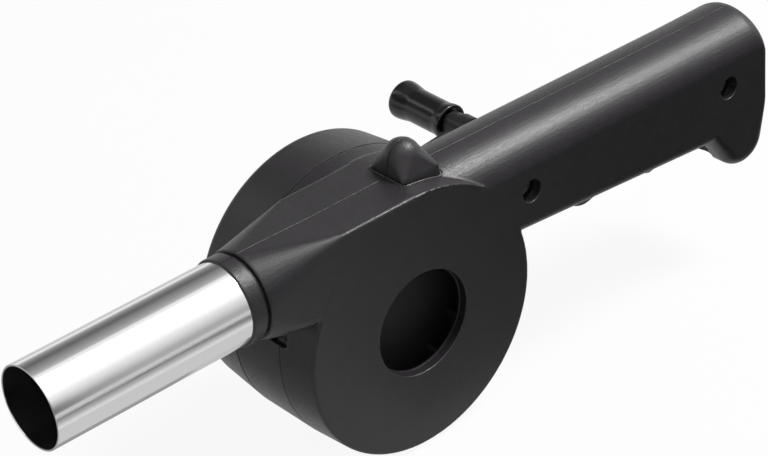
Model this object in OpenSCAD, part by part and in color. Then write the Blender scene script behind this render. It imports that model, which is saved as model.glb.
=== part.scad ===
// Hand-cranked barbecue blower: a drum with a fan, a steel nozzle, a pistol-butt handle and a geared crank.
// The origin is the centre of the air inlet on the intake face. +X runs along the handle away from the
// nozzle, +Y goes into the drum towards the crank, and +Z is up, on the side of the duct.

/* [Drum] */
// Radius of the drum at the seam between its two halves
drum_r = 42; // [39:0.5:52]
// How much smaller the radius is at the intake face
near_taper = 0.8; // [0.2:0.1:2]
// Depth from the intake face to the seam
near_depth = 13.7; // [12.8:0.1:16]
// Depth from the seam to the rear cover
mid_depth = 20.1; // [19.8:0.1:26]
// Depth of the rear cover
cover_depth = 18.3; // [17:0.1:22]
// How much smaller the radius is at the rear face
far_taper = 1.5; // [0.5:0.1:3]
// Rounding of the rear cover's edge
cover_round = 2.5; // [1:0.5:6]
// Wall of the black mouldings
wall = 2.2; // [1.6:0.1:2.7]
// Radius of the air inlet
inlet_r = 16.2; // [10:0.2:22]
// Depth of the rim inside the air inlet
inlet_rim = 1.2; // [0.4:0.1:2.4]

/* [Duct and nozzle] */
// Outer radius of the steel tube
tube_r = 12.5; // [10:0.1:12.9]
// Wall of the steel tube
tube_wall = 0.6; // [0.4:0.1:1.2]
// Length of tube that stands out of the collar
tube_out = 64.5; // [40:0.1:120]
// Length of tube held in the duct
tube_in = 18; // [12:0.5:20]
// How far the held end is drawn in, so that its shoulder stops against the collar
tube_draw = 0.3; // [0.2:0.05:0.45]
// Height of the tube's axis over the fan's
tube_z = 29.7; // [28:0.1:31]
// Distance from the fan's axis to the duct's round front edge
duct_front = 52.8; // [48:0.1:60]
// Radius of the duct's round front edge
duct_r = 13.4; // [13.2:0.1:13.7]
// How far the collar stands out from the tube
collar_wall = 0.6; // [0.5:0.1:0.9]
// Length of the collar
collar_len = 5.7; // [3:0.1:8]
// Distance from the fan's axis to where the duct has become square
throat_x = 26; // [22:0.5:30]
// Height of the duct's flat underside there
throat_z = 19.4; // [16:0.1:21]
// Height of the flat top that the duct and the handle share over the drum
bar_top = 42.4; // [42:0.1:53]

/* [Handle] */
// Distance from the fan's axis to the root of the butt
butt_x = 121.5; // [100:0.1:150]
// Length of the butt
butt_len = 23.1; // [20:0.1:32]
// Height of the handle's top at the butt
grip_top = 40; // [38:0.1:42]
// Height of the handle's underside at the butt
grip_low = 3.9; // [2:0.1:8]
// Height that the handle's underside would have under the fan's axis
root_low = 13.9; // [12:0.1:19]
// Height over which the handle's top is rounded
crown = 11; // [5:0.5:12]
// Rounding of the handle's lower edges
grip_round = 4; // [1:0.1:5]
// Radius of the butt's hook
hook_r = 9.2; // [8:0.1:11]
// Depth of the hook's centre under the handle's underside
hook_drop = 3.8; // [2:0.1:6]
// Distance from the hook's centre to the end of the butt
hook_back = 9.6; // [9.3:0.1:14]
// Radius of the finger groove in the hook's front
groove_r = 6.2; // [4:0.1:7]
// Height of the pad on the end of the butt
pad_h = 23.5; // [14:0.5:25]
// How far the pad stands out
pad_out = 0.5; // [0.3:0.1:1.5]
// Radius of the finger swell under the handle
swell_r = 8; // [6:0.5:12]
// How far the finger swell stands out
swell_out = 0.9; // [0.6:0.1:3]
// Distance from the fan's axis to the finger swell
swell_x = 67; // [56:0.5:76]

/* [Thumb rest] */
// Height of the thumb rest over the flat top
hump_h = 9.6; // [6:0.1:14]
// Length of its foot along the handle
hump_len = 14.5; // [12:0.5:20]
// Width of its foot
hump_w = 15.4; // [12:0.2:20]
// Radius of its top
hump_r = 5.6; // [3:0.1:6.5]
// Distance from the fan's axis to its front edge
hump_x = 1.4; // [0:0.1:4]
// How far its top leans towards the nozzle
hump_lean = 0.9; // [0:0.1:2]

/* [Screws] */
// Distance from the fan's axis to the front handle screw
screw_front_x = 44; // [43.5:0.5:52]
// Height of the front handle screw
screw_front_z = 23.8; // [22:0.1:26]
// Distance from the fan's axis to the rear handle screw
screw_rear_x = 127.4; // [120:0.1:130]
// Height of the rear handle screw
screw_rear_z = 21.8; // [18:0.1:26]
// Radius of the wells that the handle screws sit in
well_r = 3.6; // [3.3:0.1:4.2]
// Depth of those wells
well_depth = 6; // [3:0.5:8]
// Radius of a tapping screw's shank
screw_r = 1.45; // [1.2:0.05:1.6]
// Radius of a screw's head
screw_head_r = 2.8; // [2.4:0.1:3]
// Height of a screw's head
screw_head_h = 2; // [1.4:0.1:2.4]

/* [Gears] */
// Size of the gear teeth, as pitch diameter over teeth
tooth_size = 0.7; // [0.58:0.01:0.72]
// Teeth of the crank gear and of the double gear's wheel
wheel_teeth = 45; // [36:1:45]
// Teeth of the double gear's pinion and of the fan pinion
pinion_teeth = 12; // [12:1:16]
// Width of the wheels
wheel_w = 4.4; // [3:0.1:5]
// Width of the pinions' teeth
pinion_w = 6; // [5.4:0.1:6.2]
// Play between meshing teeth
backlash = 0.14; // [0.08:0.01:0.3]
// Direction of the double gear as seen from the intake side, in degrees from the handle
idler_dir = 115; // [105:1:125]

/* [Fan] */
// Radius of the fan over its blades
fan_r = 31.6; // [27:0.1:32.4]
// Width of the blades
blade_w = 18.6; // [12:0.1:19]
// Number of blades
blades = 12; // [6:1:18]
// Thickness of a blade
blade_t = 1.4; // [1:0.1:2]
// Radius of the steel fan shaft and of the double gear's axle
pin_r = 1.5; // [1.2:0.05:1.6]

/* [Crank] */
// Throw of the crank, from the fan's axis to the knob's
crank_throw = 70.3; // [56:0.1:90]
// Direction of the crank at rest as seen from the intake side, in degrees from the handle
crank_dir = 8.2; // [0:0.1:30]
// Radius of the crank shaft
shaft_r = 3; // [2.7:0.1:3.6]
// Thickness of the crank arm
arm_t = 4; // [3:0.1:6]
// Radius of the arm's hub
hub_r = 8; // [7:0.1:10]
// Radius of the neck under the knob
neck_r = 4.2; // [3.4:0.1:4.8]
// Length of the neck from the arm to the knob
neck_len = 4.6; // [4:0.1:12]
// Length of the knob
knob_len = 23; // [16:0.1:32]
// Radius of the knob at its waist
knob_waist_r = 5.5; // [4.5:0.1:7]
// Radius of the knob at its flared outer end
knob_flare_r = 6.3; // [5:0.1:9]

/* [Hidden] */
$fn = 96;

// Clearances: turning on a pin, pushed on to one, and between faces that turn past each other
run_gap = 0.06;
push_gap = 0.02;
end_gap = 0.3;
play = 0.05;
// How far a cut runs past what it cuts
over = 1;
// Thickness and facets of the slices that the tapered shapes are stretched between
slice_t = 0.2;
slice_fn = 32;

// Planes across the fan's axis
seam_y = near_depth;
cover_y = seam_y + mid_depth;
rear_y = cover_y + cover_depth;
bar_w = 2 * near_depth;

// Fan chamber, closed behind the fan by a wall in the gear shell, and the bosses on that wall
cavity_r = drum_r - near_taper - wall;
chamber_inset = 5.4;
chamber_t = 2;
wheel_chamber_y = cover_y - chamber_inset;
chamber_y = wheel_chamber_y - chamber_t;
boss_h = 0.7;
boss_r = 5.2;

// Washers and flanges
washer_t = 0.3;
washer_r = 2.9;
flange_t = 0.7;
fan_flange_r = 4.4;
fan_bush_r = 3.4;
crank_flange_r = 6.5;
crank_bush_r = 5;

// Gear train: each pair is a wheel and a pinion, and both pairs have one centre distance
train_slack = 0.05;
pressure_angle = 25;
root_share = 1.25;
flank_steps = 4;
wheel_gap = 1.9;
pinion_lead = 0.5;
web_share = 0.25;
centre_dist = tooth_size * (wheel_teeth + pinion_teeth) / 2 + train_slack;
idler_x = centre_dist * cos(idler_dir);
idler_z = centre_dist * sin(idler_dir);
fan_pinion_y = wheel_chamber_y + boss_h + flange_t + washer_t + 2 * play;
idler_wheel_y = fan_pinion_y + (pinion_w - wheel_w) / 2;
idler_pinion_y = idler_wheel_y + wheel_w;
crank_wheel_y = fan_pinion_y + pinion_w + wheel_gap;
idler_end_y = crank_wheel_y + wheel_w + pinion_lead;
web_r = tooth_size * wheel_teeth / 2 - 3 * tooth_size;

// Crank shaft with its clip, and the arm's hub on it
pilot_depth = 4.4;
clip_t = 0.8;
clip_groove = 0.3;
clip_r = 5.5;
cover_boss_r = 7.6;
cover_ring_h = 0.9;
cover_ring_r = 11;
hub_h = 6.6;
hub_lead = 0.7;
hub_floor = 0.5;
flat_share = 0.75;
shaft_in_y = fan_pinion_y + pinion_w + end_gap;
clip_y = crank_wheel_y + wheel_w + push_gap;
crank_flange_y = clip_y + clip_t + end_gap;
hub_y = rear_y + cover_ring_h + end_gap;
arm_y = hub_y + hub_lead;
shaft_out_y = hub_y + hub_h - hub_floor;

// Arm, knob, neck and pin
arm_end_r = 4.9;
arm_tip_w = 2.8;
arm_root_r = 6.6;
arm_rim = 1.2;
arm_panel = 1;
knob_rim_r = 5.9;
knob_round = 1.4;
pin_head_r = 3.3;
pin_head_h = 1.6;
pin_sink = 0.6;
pin_shoulder_r = 2;
pin_thread_len = 6;
knob_x = crank_throw * cos(crank_dir);
knob_z = crank_throw * sin(crank_dir);
neck_y = arm_y + arm_t;
knob_y = neck_y + neck_len + end_gap;
knob_end_y = knob_y + knob_len;
pin_head_y = knob_end_y - pin_sink - pin_head_h;

// Fan
fan_hub_r = 4.6;
disc_t = 1.6;
disc_set_in = 0.4;
fan_skin = 1;
fan_sleeve = 1.4;
blade_in_r = 23;
blade_sweep = 18;
blade_steps = 4;
blade_mid = 0.6;
fan_back_y = chamber_y - boss_h - washer_t - 2 * play;
blade_end_y = fan_back_y - fan_sleeve;
blade_y = blade_end_y - blade_w;
disc_y = blade_end_y - blade_w * blade_mid;

// Screws inside the drum: their directions as seen from the intake side, and their posts
body_screw_dirs = [45, 200, 310];
cover_screw_dirs = [15, 165, 270];
post_r = 3.3;
cover_post_r = 4.6;
cover_well_r = 3.3;
cover_seat = 4;
well_side = 0.9;
screw_clear = 0.25;
tap_gap = 0.03;
slot_w = 0.7;
slot_depth = 0.7;
cross_share = 0.7;
body_screw_at = cavity_r - post_r + push_gap;
cover_screw_at = cavity_r - cover_post_r - well_side;
cover_floor_y = cover_y + cover_seat;

// Tongue of the rear cover inside the gear shell, and the eased edge of the intake face
tongue_h = 1.6;
tongue_t = 1.2;
tongue_gap = 0.1;
edge_round = 0.8;

// Handle and butt
sections_n = 20;
crown_power = 2;
butt_round = 3.5;
pad_gap = 3.7;
rib_t = 1.6;
rib_shares = [0.5, 0.68, 0.86];
butt_end_x = butt_x + butt_len;
hook_x = butt_end_x - hook_back;
hook_z = grip_low - hook_drop;
groove_x = hook_x - hook_r;
groove_z = grip_low - wall / 4;
pad_low_z = grip_low + pad_gap;

// Nozzle
held_r = tube_r - tube_draw;
collar_r = tube_r + collar_wall;
tube_in_x = duct_front + collar_len - tube_in;

// Cylinder along Y between two planes, on the axis (x, z)
module rod(r, from, to, x = 0, z = 0) {
    translate([x, to, z])
        rotate([90, 0, 0])
            cylinder(r = r, h = to - from);
}

// Outline in X and Z, given a thickness between two planes
module slab(from, to) {
    translate([0, to, 0])
        rotate([90, 0, 0])
            linear_extrude(height = to - from)
                children();
}

// Profile of radius and depth, turned about the fan's axis
module lathe() {
    rotate([-90, 0, 0])
        rotate_extrude()
            children();
}

// Block between two opposite corners
module block(low, high) {
    translate(low)
        cube(high - low);
}

// A module's shape once in each of the given directions at a distance from the fan's axis
module at_dirs(dirs, distance) {
    for (dir = dirs)
        translate([distance * cos(dir), 0, distance * sin(dir)])
            children();
}

// Points of an arc, the last one included
function arc(x, z, r, from, to, n) =
    [for (i = [0:n]) [x + r * cos(from + (to - from) * i / n), z + r * sin(from + (to - from) * i / n)]];

// Cross-section of the handle, in Y and Z: rounded top, flat sides and eased lower edges
function grip_section(low, top, inset) =
    let (half = near_depth - inset, round_r = max(grip_round - inset, inset / 2), rise = crown - inset / 2)
    concat(
        arc(seam_y - half + round_r, low + round_r, round_r, 270, 180, 5),
        [for (i = [0:sections_n]) let (a = 180 - 180 * i / sections_n, c = cos(a), s = abs(sin(a)))
            [seam_y + half * sign(c) * pow(abs(c), 2 / crown_power),
             top - rise + rise * pow(s, 2 / crown_power)]],
        arc(seam_y + half - round_r, low + round_r, round_r, 0, -90, 5));

// Thin slice of the handle at a distance from the fan's axis
module grip_slice(x, low, top, inset) {
    translate([x, 0, 0])
        rotate([90, 0, 90])
            linear_extrude(height = slice_t)
                polygon(grip_section(low, top, inset));
}

// Handle between the drum and the butt; inset draws its hollow
module grip(inset) {
    start_x = hump_x + hump_len / 2;
    share = start_x / butt_x;
    hull() {
        grip_slice(start_x, root_low + share * (grip_low - root_low) + inset,
            bar_top + share * (grip_top - bar_top) - inset, inset);
        grip_slice(butt_x, grip_low + inset, grip_top - inset, inset);
    }
}

// Butt with its hook, which is a disc with a rounded rim and a groove for a finger
module butt() {
    end_x = butt_end_x - pad_out;
    difference() {
        hull() {
            intersection() {
                slab(0, bar_w)
                    polygon(concat(
                        [[butt_x - slice_t, grip_top], [butt_x - slice_t, grip_low], [end_x, pad_low_z]],
                        arc(end_x - butt_round, grip_top - butt_round, butt_round, 0, 90, 6)));
                translate([butt_x - slice_t, 0, 0])
                    rotate([90, 0, 90])
                        linear_extrude(height = butt_len + slice_t)
                            polygon(grip_section(grip_low, grip_top, 0));
            }
            translate([hook_x, 0, hook_z])
                lathe()
                    polygon(concat(
                        [[0, 0]],
                        arc(hook_r - grip_round, grip_round, grip_round, 270, 360, 5),
                        arc(hook_r - grip_round, bar_w - grip_round, grip_round, 0, 90, 5),
                        [[0, bar_w]]));
        }
        translate([groove_x, seam_y, hook_z - hook_r - over])
            cylinder(r = groove_r, h = groove_z - hook_z + hook_r + over, $fn = slice_fn * 2);
    }
    block([butt_end_x - wall, grip_round, pad_low_z],
        [butt_end_x, bar_w - grip_round, pad_low_z + pad_h]);
}

// Hollow of the butt, behind the finger groove and round the rear screw's post
module butt_hollow() {
    hollow_r = hook_r - wall;
    high_z = grip_top - crown - butt_round;
    hull() {
        intersection() {
            rod(hollow_r, wall, bar_w - wall, hook_x, hook_z, $fn = slice_fn);
            block([groove_x + groove_r + wall, 0, hook_z - hook_r], [butt_end_x, bar_w, hook_z + hook_r]);
        }
        rod(butt_round, wall, bar_w - wall, butt_x + butt_round, high_z, $fn = slice_fn);
        rod(butt_round, wall, bar_w - wall, butt_end_x - pad_out - wall - butt_round, high_z, $fn = slice_fn);
    }
}

// Duct from its round front edge to its square throat; inset draws its hollow
module duct(inset, front_r, front_x) {
    hull() {
        translate([-front_x, seam_y, tube_z])
            rotate([0, 90, 0])
                cylinder(r = front_r, h = slice_t, $fn = slice_fn * 2);
        block([-throat_x, inset, throat_z + inset], [slice_t - throat_x, bar_w - inset, bar_top - inset]);
    }
}

// Flat top over the drum, which falls away round the fan's axis under the handle
module bar() {
    slab(0, bar_w) {
        translate([-throat_x, throat_z])
            square([throat_x, bar_top - throat_z]);
        intersection() {
            circle(r = bar_top);
            translate([0, root_low])
                square([bar_top, bar_top - root_low]);
        }
    }
}

// Thumb rest on the seam where the handle begins
module hump() {
    foot_z = bar_top - crown / 2;
    hull() {
        block([hump_x, seam_y - hump_w / 2, foot_z], [hump_x + hump_len, seam_y + hump_w / 2, bar_top]);
        translate([hump_x + hump_len / 2 - hump_lean, seam_y, bar_top + hump_h - hump_r])
            sphere(r = hump_r, $fn = slice_fn);
    }
}

// Outer form of the two halves, without the rear cover
module body_form() {
    lathe()
        polygon([
            [0, 0], [drum_r - near_taper - edge_round, 0], [drum_r - near_taper, edge_round],
            [drum_r, seam_y], [drum_r, cover_y], [0, cover_y]]);
    duct(0, duct_r, duct_front);
    translate([-duct_front - collar_len, seam_y, tube_z])
        rotate([0, 90, 0])
            cylinder(r = collar_r, h = collar_len + slice_t);
    bar();
    grip(0);
    butt();
    hump();
    swell_z = root_low + swell_x * (grip_low - root_low) / butt_x + swell_r - swell_out;
    rod(swell_r, grip_round / 2, bar_w - grip_round / 2, swell_x, swell_z);
}

// Hollows that both halves share
module body_hollow() {
    rod(cavity_r, wall, chamber_y);
    duct(wall, held_r - tube_wall, tube_in_x);
    translate([-duct_front - collar_len - over, seam_y, tube_z])
        rotate([0, 90, 0])
            cylinder(r = held_r + push_gap, h = tube_in + over);
    block([-throat_x, wall, throat_z + wall], [0, bar_w - wall, bar_top - wall]);
    difference() {
        grip(wall);
        rod(drum_r, -over, rear_y);
        for (share = rib_shares)
            block([share * butt_x, 0, 0], [share * butt_x + rib_t, bar_w, bar_top]);
        block([butt_x - rib_t, 0, 0], [butt_x + over, bar_w, bar_top]);
    }
    butt_hollow();
}

// Posts and bores of the handle's screws, seen from both halves
module at_handle_screws() {
    translate([screw_front_x, 0, screw_front_z])
        children();
    translate([screw_rear_x, 0, screw_rear_z])
        children();
}

// Near half, with the air inlet
module intake_shell() {
    color([0.13, 0.13, 0.135])
        difference() {
            union() {
                difference() {
                    intersection() {
                        body_form();
                        block([-duct_front - collar_len - over, -over, -drum_r - over],
                            [butt_end_x + over, seam_y, bar_top + hump_h + over]);
                    }
                    body_hollow();
                }
                at_handle_screws()
                    rod(well_r + wall, wall / 2, seam_y);
                at_dirs(body_screw_dirs, body_screw_at)
                    rod(post_r, wall / 2, seam_y);
                rod(inlet_r + wall, wall / 2, wall + inlet_rim);
            }
            rod(inlet_r, -over, wall + inlet_rim + over);
            at_handle_screws() {
                rod(well_r, -over, well_depth);
                rod(screw_r + screw_clear, 0, seam_y + over);
            }
            at_dirs(body_screw_dirs, body_screw_at)
                rod(screw_r + tap_gap, 2 * wall, seam_y + over);
        }
}

// Far half, with the wall behind the fan and the posts of the rear cover
module gear_shell() {
    color([0.12, 0.12, 0.125])
        difference() {
            union() {
                difference() {
                    intersection() {
                        body_form();
                        block([-duct_front - collar_len - over, seam_y, -drum_r - over],
                            [butt_end_x + over, cover_y, bar_top + hump_h + over]);
                    }
                    body_hollow();
                    rod(cavity_r, wheel_chamber_y, cover_y + over);
                }
                at_handle_screws()
                    rod(well_r + wall, seam_y, bar_w - wall / 2);
                at_dirs(body_screw_dirs, body_screw_at)
                    rod(post_r, seam_y, chamber_y + over);
                at_dirs(cover_screw_dirs, cover_screw_at)
                    rod(cover_post_r, chamber_y + wall / 2, cover_y);
                rod(boss_r, chamber_y - boss_h, wheel_chamber_y + boss_h);
                rod(boss_r, chamber_y, idler_wheel_y - washer_t - 2 * play, idler_x, idler_z);
            }
            at_handle_screws()
                rod(screw_r + tap_gap, seam_y - over, bar_w - 2 * wall);
            at_dirs(body_screw_dirs, body_screw_at)
                rod(screw_r + screw_clear, seam_y - over, wheel_chamber_y + over);
            at_dirs(cover_screw_dirs, cover_screw_at)
                rod(screw_r + tap_gap, wheel_chamber_y, cover_y + over);
            rod(fan_bush_r + push_gap, chamber_y - boss_h - over, wheel_chamber_y + boss_h + over);
            rod(pin_r + push_gap, chamber_y + wall / 4, idler_wheel_y, idler_x, idler_z);
        }
}

// Deep dish over the gears, with the bearing of the crank
module rear_cover() {
    rear_r = drum_r - far_taper;
    color([0.12, 0.12, 0.125])
        difference() {
            union() {
                lathe()
                    polygon(concat(
                        [[cavity_r, cover_y], [drum_r, cover_y]],
                        arc(rear_r - cover_round, rear_y - cover_round, cover_round, 0, 90, 8),
                        [[0, rear_y], [0, rear_y - wall]],
                        arc(rear_r - wall - cover_round, rear_y - wall - cover_round, cover_round,
                            90, 0, 8)));
                difference() {
                    rod(cavity_r - tongue_gap, cover_y - tongue_h, cover_y + tongue_h);
                    rod(cavity_r - tongue_gap - tongue_t,
                        cover_y - tongue_h - over, cover_y + tongue_h + over);
                    at_dirs(cover_screw_dirs, cover_screw_at)
                        rod(cover_post_r + tongue_gap, cover_y - tongue_h - over, cover_y);
                }
                at_dirs(cover_screw_dirs, cover_screw_at)
                    rod(cover_post_r, cover_y, rear_y - wall / 2);
                rod(cover_boss_r, crank_flange_y + flange_t, rear_y - wall / 2);
                rod(cover_ring_r, rear_y - wall / 2, rear_y + cover_ring_h);
                rod(boss_r, idler_end_y + washer_t + 2 * play, rear_y - wall / 2, idler_x, idler_z);
            }
            at_dirs(cover_screw_dirs, cover_screw_at) {
                rod(cover_well_r, cover_floor_y, rear_y + over);
                rod(screw_r + screw_clear, cover_y - over, cover_floor_y + over);
            }
            rod(crank_bush_r + push_gap, cover_y, rear_y + cover_ring_h + over);
            rod(pin_r + push_gap, cover_y, rear_y - wall - over, idler_x, idler_z);
        }
}

// Polished stainless tube, drawn in where the collar holds it
module nozzle_tube() {
    color([0.8, 0.8, 0.82])
        translate([-duct_front - collar_len - tube_out, seam_y, tube_z])
            rotate([0, 90, 0])
                difference() {
                    union() {
                        cylinder(r = tube_r, h = tube_out);
                        cylinder(r = held_r, h = tube_out + tube_in);
                    }
                    translate([0, 0, -over])
                        cylinder(r = held_r - tube_wall, h = tube_out + tube_in + 2 * over);
                    translate([0, 0, -over])
                        cylinder(r = tube_r - tube_wall, h = tube_out - tube_wall + over);
                }
}

// Tapping screw along Y: seat is the plane under its head, and point is where it ends
module screw(seat, point) {
    way = sign(point - seat);
    top = seat - way * screw_head_h;
    difference() {
        union() {
            rod(screw_head_r, min(seat, top), max(seat, top));
            rod(screw_r, min(top + way * screw_head_h / 2, point), max(top + way * screw_head_h / 2, point));
        }
        for (turn = [0, 90])
            translate([0, top, 0])
                rotate([0, turn, 0])
                    block([-screw_head_r * cross_share, -slot_depth, -slot_w / 2],
                        [screw_head_r * cross_share, slot_depth, slot_w / 2]);
    }
}

module handle_screws() {
    color([0.55, 0.55, 0.57])
        at_handle_screws()
            screw(well_depth, bar_w - 2.5 * wall);
}

module body_screws() {
    color([0.55, 0.55, 0.57])
        at_dirs(body_screw_dirs, body_screw_at)
            screw(wheel_chamber_y, 3 * wall);
}

module cover_screws() {
    color([0.55, 0.55, 0.57])
        at_dirs(cover_screw_dirs, cover_screw_at)
            screw(cover_floor_y, wheel_chamber_y + wall / 2);
}

// Flanged bush: its flange is at the first plane, and its body ends at the second
module bush(outer_r, flange_r, inner_r, from, to) {
    color([0.72, 0.56, 0.3])
        difference() {
            union() {
                rod(outer_r, min(from, to), max(from, to));
                rod(flange_r, min(from, from + sign(to - from) * flange_t),
                    max(from, from + sign(to - from) * flange_t));
            }
            rod(inner_r, min(from, to) - over, max(from, to) + over);
        }
}

module fan_bush() {
    bush(fan_bush_r, fan_flange_r, pin_r + run_gap,
        wheel_chamber_y + boss_h + flange_t, chamber_y - boss_h);
}

module crank_bush() {
    bush(crank_bush_r, crank_flange_r, shaft_r + run_gap, crank_flange_y, rear_y + cover_ring_h);
}

module idler_axle() {
    color([0.7, 0.7, 0.72])
        rod(pin_r, chamber_y + wall / 4, rear_y - wall - over, idler_x, idler_z);
}

// Flat points of one blade, swept back against the turn
function blade_edge(side) =
    [for (i = [0:blade_steps])
        let (r = blade_in_r + (fan_r - blade_in_r) * i / blade_steps,
             a = -blade_sweep * i / blade_steps + side * blade_t / 2 / r * 180 / PI)
        [r * cos(a), r * sin(a)]];

// Fan wheel: a disc at mid-width that is plain in the middle and has blades at its rim
module impeller() {
    back_edge = blade_edge(-1);
    color([0.1, 0.1, 0.105])
        difference() {
            union() {
                rod(fan_r - disc_set_in, disc_y, disc_y + disc_t);
                rod(fan_hub_r, disc_y + disc_t / 2, fan_back_y);
                slab(blade_y, blade_end_y)
                    for (i = [1:blades])
                        rotate(i * 360 / blades)
                            polygon(concat(blade_edge(1), [for (j = [blade_steps:-1:0]) back_edge[j]]));
            }
            rod(pin_r + push_gap, disc_y + fan_skin, fan_back_y + over);
        }
}

module fan_shaft() {
    color([0.7, 0.7, 0.72])
        rod(pin_r, disc_y + fan_skin, shaft_in_y + pilot_depth - end_gap);
}

// Washer round a pin, from one plane for its thickness
module washer(y, inner_r, outer_r, x = 0, z = 0) {
    difference() {
        rod(outer_r, y, y + washer_t, x, z);
        rod(inner_r, y - over, y + washer_t + over, x, z);
    }
}

// Washers that ride on the fan's shaft, on both sides of its bush
module fan_washers() {
    color([0.75, 0.75, 0.77]) {
        washer(fan_back_y + play, pin_r + push_gap, washer_r);
        washer(fan_pinion_y - play - washer_t, pin_r + push_gap, washer_r);
    }
}

// Outline of a gear with its first tooth along X: each tooth is two involute flanks
function involute(a) = tan(a) * 180 / PI - a;

function gear_tooth(teeth) =
    let (pitch_r = tooth_size * teeth / 2, base_r = pitch_r * cos(pressure_angle),
         tip_r = pitch_r + tooth_size, root_r = pitch_r - root_share * tooth_size,
         half = 90 / teeth - backlash / 4 / pitch_r * 180 / PI,
         start_r = max(base_r, root_r),
         flank = [for (i = [0:flank_steps])
             let (r = start_r + (tip_r - start_r) * i / flank_steps)
             [r, half + involute(pressure_angle) - involute(acos(min(1, base_r / r)))]])
    concat([[root_r, flank[0][1]]], flank);

function gear_points(teeth) =
    let (side = gear_tooth(teeth), last = len(side) - 1)
    [for (i = [0:teeth - 1], j = [0:2 * last + 1])
        let (p = j <= last ? side[j] : side[2 * last + 1 - j],
             a = 360 * i / teeth + (j <= last ? -p[1] : p[1]))
        [p[0] * cos(a), p[0] * sin(a)]];

module gear(teeth, from, to, dir) {
    slab(from, to)
        rotate(dir)
            polygon(gear_points(teeth));
}

module fan_pinion() {
    color([0.85, 0.83, 0.76])
        difference() {
            gear(pinion_teeth, fan_pinion_y, fan_pinion_y + pinion_w, idler_dir + 180 / pinion_teeth);
            rod(pin_r + push_gap, fan_pinion_y - over, fan_pinion_y + pinion_w + over);
        }
}

// Wheel with a thin web between its rim and its hub
module wheel(from, to, dir, hub) {
    web_in = wheel_w * web_share;
    difference() {
        gear(wheel_teeth, from, to, dir);
        for (y = [from - over, to - web_in])
            difference() {
                rod(web_r, y, y + web_in + over);
                rod(hub, y - over, y + web_in + 2 * over);
            }
    }
}

// Double gear on its axle: the wheel drives the fan pinion, and the crank gear drives its pinion
module idler_gear() {
    color([0.85, 0.83, 0.76])
        difference() {
            union() {
                translate([idler_x, 0, idler_z])
                    wheel(idler_wheel_y, idler_pinion_y, idler_dir + 180, washer_r + wall);
                translate([idler_x, 0, idler_z])
                    gear(pinion_teeth, idler_pinion_y - over, idler_end_y,
                        idler_dir + 180 + 180 / pinion_teeth);
            }
            rod(pin_r + run_gap, idler_wheel_y - over, idler_end_y + over, idler_x, idler_z);
        }
}

// Washers at both ends of the double gear
module idler_washers() {
    color([0.75, 0.75, 0.77]) {
        washer(idler_wheel_y - play - washer_t, pin_r + push_gap, washer_r, idler_x, idler_z);
        washer(idler_end_y + play, pin_r + push_gap, washer_r, idler_x, idler_z);
    }
}

module crank_gear() {
    color([0.85, 0.83, 0.76])
        difference() {
            wheel(crank_wheel_y, crank_wheel_y + wheel_w, idler_dir, crank_bush_r + wall / 2);
            rod(shaft_r + push_gap, crank_wheel_y - over, crank_wheel_y + wheel_w + over);
        }
}

// Steel shaft with a flat for the arm, a groove for its clip and a hole in each end
module crank_shaft() {
    color([0.7, 0.7, 0.72])
        difference() {
            rod(shaft_r, shaft_in_y, shaft_out_y);
            difference() {
                rod(shaft_r + over, clip_y, clip_y + clip_t);
                rod(shaft_r - clip_groove, clip_y - over, clip_y + clip_t + over);
            }
            rod(pin_r + run_gap, shaft_in_y - over, shaft_in_y + pilot_depth);
            rod(screw_r + tap_gap, shaft_out_y - 2 * hub_h, shaft_out_y + over);
            rotate([0, -crank_dir, 0])
                block([shaft_r * flat_share, hub_y - push_gap, -shaft_r],
                    [2 * shaft_r, shaft_out_y + over, shaft_r]);
        }
}

// Open clip in the shaft's groove
module shaft_clip() {
    inner_r = shaft_r - clip_groove + push_gap;
    color([0.6, 0.6, 0.62])
        difference() {
            rod(clip_r, clip_y + push_gap, clip_y + clip_t - push_gap);
            rod(inner_r, clip_y - over, clip_y + clip_t + over);
            block([0, clip_y - over, -inner_r * flat_share],
                [clip_r + over, clip_y + clip_t + over, inner_r * flat_share]);
        }
}

// Straight part of the arm seen along its axis, narrowed by an inset
module arm_web(inset) {
    polygon([
        [0, -arm_root_r + inset], [crank_throw, -arm_tip_w + inset],
        [crank_throw, arm_tip_w - inset], [0, arm_root_r - inset]]);
}

// Black lever with its hub, a sunk panel on its outer face and the neck for the knob
module crank_arm() {
    color([0.1, 0.1, 0.105])
        rotate([0, -crank_dir, 0])
            difference() {
                union() {
                    rod(hub_r, hub_y, hub_y + hub_h);
                    difference() {
                        slab(arm_y, neck_y)
                            arm_web(0);
                        slab(neck_y - arm_panel, neck_y + over)
                            difference() {
                                arm_web(arm_rim);
                                circle(r = hub_r + arm_rim);
                                translate([crank_throw, 0])
                                    circle(r = arm_end_r + arm_rim);
                            }
                    }
                    rod(arm_end_r, arm_y, neck_y, crank_throw);
                    rod(neck_r, neck_y - over, neck_y + neck_len, crank_throw);
                }
                intersection() {
                    rod(shaft_r + push_gap, hub_y - over, shaft_out_y);
                    block([-2 * shaft_r, hub_y - over, -2 * shaft_r],
                        [shaft_r * flat_share + push_gap, shaft_out_y, 2 * shaft_r]);
                }
                rod(screw_r + screw_clear, hub_y, hub_y + hub_h + over);
                rod(screw_r + tap_gap, neck_y + neck_len - pin_thread_len, neck_y + neck_len + over,
                    crank_throw);
            }
}

module crank_washer() {
    color([0.7, 0.7, 0.72])
        washer(hub_y + hub_h, screw_r + screw_clear, hub_r / 2);
}

module crank_screw() {
    color([0.55, 0.55, 0.57])
        screw(hub_y + hub_h + washer_t, shaft_out_y - hub_h);
}

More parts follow.
